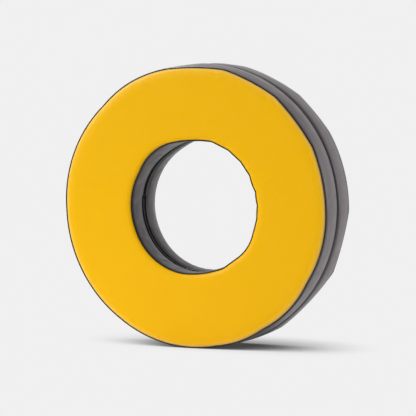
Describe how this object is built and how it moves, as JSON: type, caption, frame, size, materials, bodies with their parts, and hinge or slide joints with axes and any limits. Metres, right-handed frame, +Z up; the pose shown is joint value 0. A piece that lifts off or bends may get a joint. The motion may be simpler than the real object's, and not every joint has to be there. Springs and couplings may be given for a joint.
{
  "type": "tackle wheel",
  "caption": "Upright foam ring for tackling practice, in a yellow and grey sewn vinyl cover with piped seams and a zip inside its bore.",
  "frame": {"origin": "on the floor, under the middle of the wheel", "axes": "+Z up, +Y along the wheel's axis from its front face to its rear face, +X to the right as the front face is seen"},
  "size_m": [1.2192, 0.2798, 1.2147],
  "materials": {
    "foam": "matte",
    "yellow_vinyl": "satin",
    "grey_vinyl": "satin",
    "black_vinyl": "satin",
    "woven_tape": "matte",
    "zip_teeth": "satin",
    "zip_metal": "satin"
  },
  "bodies": {
    "wheel": {"foam_slab_front": "foam", "foam_slab_rear": "foam", "face_panel_front": "yellow_vinyl", "face_panel_rear": "yellow_vinyl", "rim_band_front": "grey_vinyl", "rim_band_rear": "grey_vinyl", "bore_band_front": "grey_vinyl", "bore_band_rear": "grey_vinyl", "rim_piping_front": "black_vinyl", "rim_piping_rear": "black_vinyl", "bore_piping_front": "black_vinyl", "bore_piping_rear": "black_vinyl", "bore_seam_tape": "woven_tape", "zip_tape_front": "woven_tape", "zip_tape_rear": "woven_tape", "zip_teeth_front": "zip_teeth", "zip_teeth_rear": "zip_teeth", "zip_top_stop_front": "zip_teeth", "zip_top_stop_rear": "zip_teeth", "zip_bottom_stop": "zip_teeth"},
    "slider": {"zip_slider": "zip_metal"},
    "pull": {"zip_pull": "zip_metal"}
  },
  "joints": [
    {"name": "slider_travel", "type": "hinge", "parent": "wheel", "child": "slider", "pos_m": [0, 0, 0.6051], "axis": [0, 1, 0], "range_deg": [0, 77]},
    {"name": "pull_swing", "type": "hinge", "parent": "slider", "child": "pull", "pos_m": [-0.08017, 0, 0.32765], "axis": [0, -1, 0], "range_deg": [0, 165]}
  ]
}
